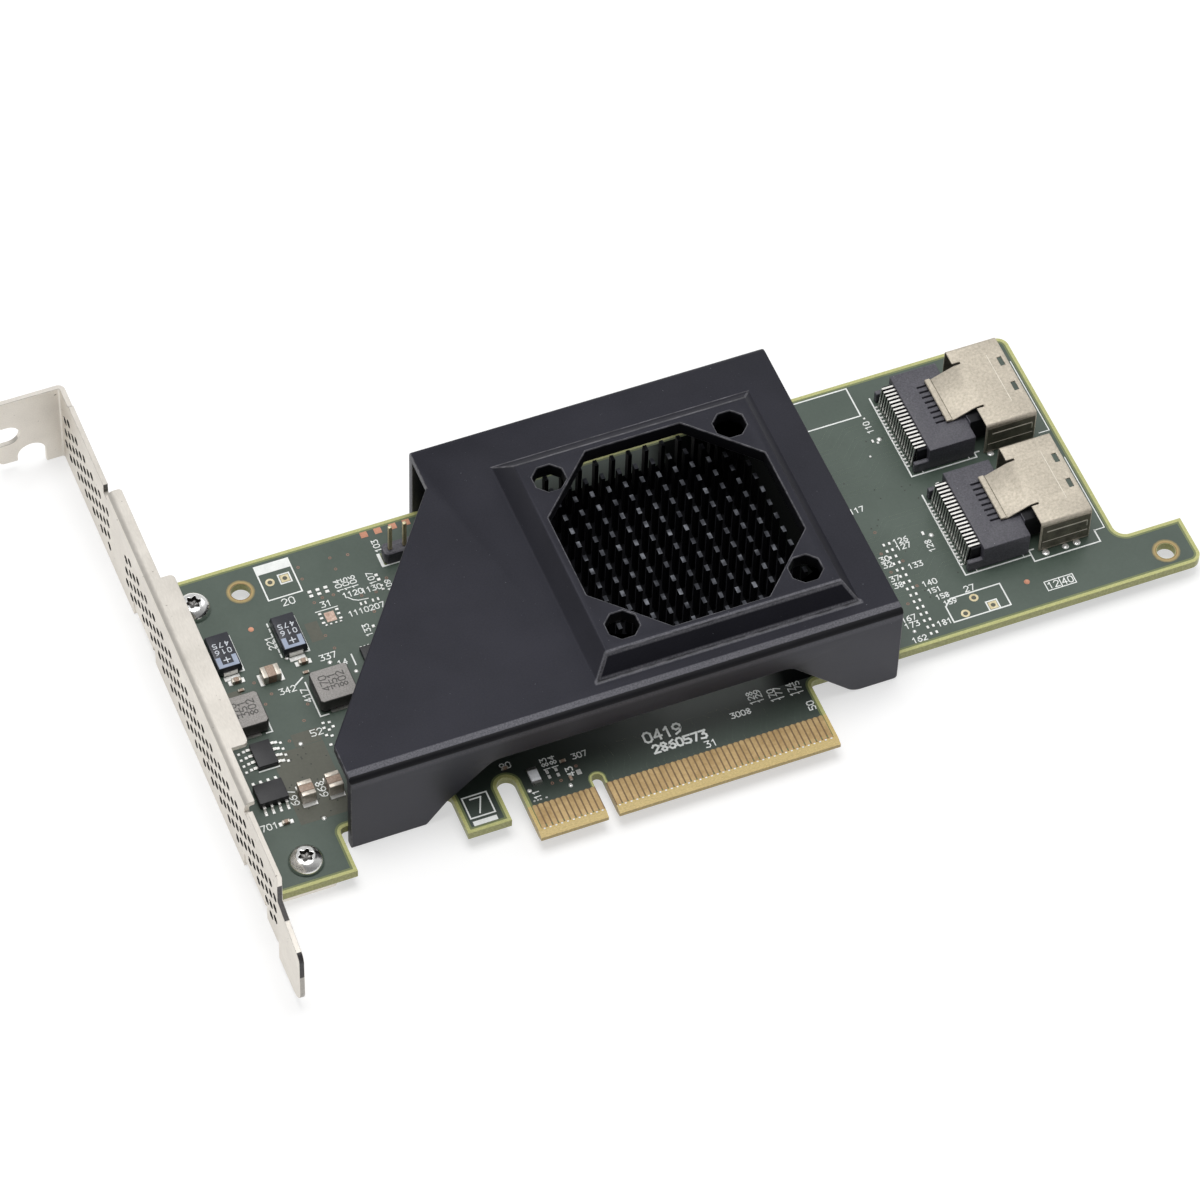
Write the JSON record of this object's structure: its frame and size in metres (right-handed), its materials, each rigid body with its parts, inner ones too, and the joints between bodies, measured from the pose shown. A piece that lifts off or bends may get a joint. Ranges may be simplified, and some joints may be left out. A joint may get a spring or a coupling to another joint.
{
  "type": "host bus adapter",
  "caption": "Plug-in storage adapter card with a vented full-height bracket, moulded air shroud over a pin heatsink and latched drive ports.",
  "frame": {"origin": "middle of the key notch, on the finger edge, at half the board's thickness", "axes": "+X along the card from the bracket to the tail, +Y from the finger edge to the rear edge, +Z from the board to its components"},
  "size_m": [0.1804, 0.12, 0.0226],
  "materials": {
    "board": "dark green solder mask over glass laminate",
    "gold": "gold plated",
    "bracket_sheet": "nickel plated sheet",
    "screw": "bright plated",
    "shroud": "fine matte moulding",
    "heatsink": "dark anodised",
    "thermal_pad": "soft filled pad",
    "chip": "moulded epoxy",
    "tantalum": "moulded epoxy",
    "ferrite": "pressed powder",
    "ceramic": "fired ceramic",
    "fuse_ceramic": "white ceramic",
    "tin": "tin plated",
    "crystal_can": "nickel lid",
    "port_plastic": "black moulding",
    "cage": "nickel plated sheet"
  },
  "bodies": {
    "root": {"circuit_board": "board", "edge_contacts_top": "gold", "edge_contacts_bottom": "gold", "io_bracket": "bracket_sheet", "bracket_screw_front": "screw", "bracket_screw_rear": "screw", "air_shroud": "shroud", "heatsink": "heatsink", "thermal_pad": "thermal_pad", "controller_chip": "chip", "tantalum_capacitor_left": "tantalum", "tantalum_capacitor_right": "tantalum", "tantalum_strips": "tin", "inductor_left": "ferrite", "inductor_right": "ferrite", "inductor_strips": "tin", "power_chip": "chip", "power_chip_leads": "tin", "memory_chip": "chip", "memory_chip_leads": "tin", "boot_flash": "chip", "monitor_chip": "chip", "clock_crystal": "crystal_can", "ceramic_capacitors": "ceramic", "ceramic_capacitor_ends": "tin", "fuse_body": "fuse_ceramic", "fuse_ends": "tin", "pin_header_base": "port_plastic", "pin_header_pins": "gold", "port_housing_front": "port_plastic", "port_cage_front": "cage", "port_leads_front": "tin", "port_housing_rear": "port_plastic", "port_cage_rear": "cage", "port_leads_rear": "tin"}
  },
  "joints": []
}
